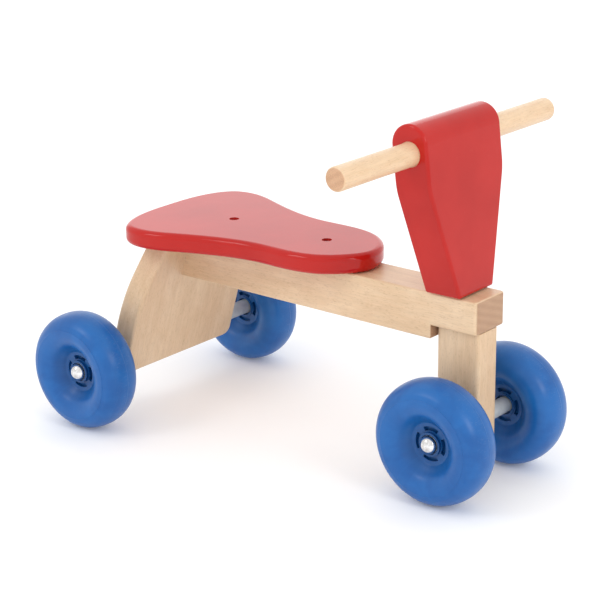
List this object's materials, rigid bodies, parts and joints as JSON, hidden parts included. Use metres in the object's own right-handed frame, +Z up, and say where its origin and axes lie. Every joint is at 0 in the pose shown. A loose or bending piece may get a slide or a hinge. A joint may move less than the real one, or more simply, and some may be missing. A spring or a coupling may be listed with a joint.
{
  "type": "toddler ride-on tricycle",
  "caption": "Wooden toddler ride-on: beam frame with pear-shaped seat, limited-steering head and handlebar, and plastic wheels on steel axles.",
  "frame": {"origin": "on the floor, midway between the two axles, on the centre plane", "axes": "+X forward, +Y to the rider's left, +Z up"},
  "size_m": [0.527, 0.34, 0.365],
  "materials": {
    "beech_wood": "clear satin lacquer over straight-grained beech",
    "red_lacquered_wood": "smooth opaque red gloss lacquer",
    "zinc_plated_steel": "bright zinc plating",
    "pale_nylon": "plain moulded nylon",
    "chrome": "polished",
    "blue_plastic": "satin moulded plastic"
  },
  "bodies": {
    "frame": {"main_beam": "beech_wood", "rear_board": "beech_wood", "rear_board_screws": "zinc_plated_steel", "seat_board": "red_lacquered_wood", "seat_screws": "zinc_plated_steel", "steering_bushes": "pale_nylon", "axle_rear": "zinc_plated_steel", "axle_cap_rear_left": "chrome", "axle_cap_rear_right": "chrome", "washer_rear_left": "pale_nylon", "washer_rear_right": "pale_nylon", "spacer_rear_left": "pale_nylon", "spacer_rear_right": "pale_nylon"},
    "steering": {"steering_head": "red_lacquered_wood", "handlebar": "beech_wood", "handlebar_screw": "zinc_plated_steel", "steering_rod": "zinc_plated_steel", "steering_rod_pins": "zinc_plated_steel", "steering_washers": "pale_nylon", "front_leg": "beech_wood", "axle_front": "zinc_plated_steel", "axle_cap_front_left": "chrome", "axle_cap_front_right": "chrome", "washer_front_left": "pale_nylon", "washer_front_right": "pale_nylon", "spacer_front_left": "pale_nylon", "spacer_front_right": "pale_nylon"},
    "front_left_wheel": {"wheel_front_left": "blue_plastic"},
    "front_right_wheel": {"wheel_front_right": "blue_plastic"},
    "rear_left_wheel": {"wheel_rear_left": "blue_plastic"},
    "rear_right_wheel": {"wheel_rear_right": "blue_plastic"}
  },
  "joints": [
    {"name": "steering_turn", "type": "hinge", "parent": "frame", "child": "steering", "pos_m": [0.188, 0, 0.178], "axis": [0, 0, 1], "range_deg": [-10, 10]},
    {"name": "front_left_wheel_spin", "type": "hinge", "parent": "steering", "child": "front_left_wheel", "pos_m": [0.201, 0.0625, 0.0625], "axis": [0, 1, 0], "continuous": true},
    {"name": "front_right_wheel_spin", "type": "hinge", "parent": "steering", "child": "front_right_wheel", "pos_m": [0.201, -0.0625, 0.0625], "axis": [0, 1, 0], "continuous": true},
    {"name": "rear_left_wheel_spin", "type": "hinge", "parent": "frame", "child": "rear_left_wheel", "pos_m": [-0.201, 0.131, 0.0625], "axis": [0, 1, 0], "continuous": true},
    {"name": "rear_right_wheel_spin", "type": "hinge", "parent": "frame", "child": "rear_right_wheel", "pos_m": [-0.201, -0.131, 0.0625], "axis": [0, 1, 0], "continuous": true}
  ]
}
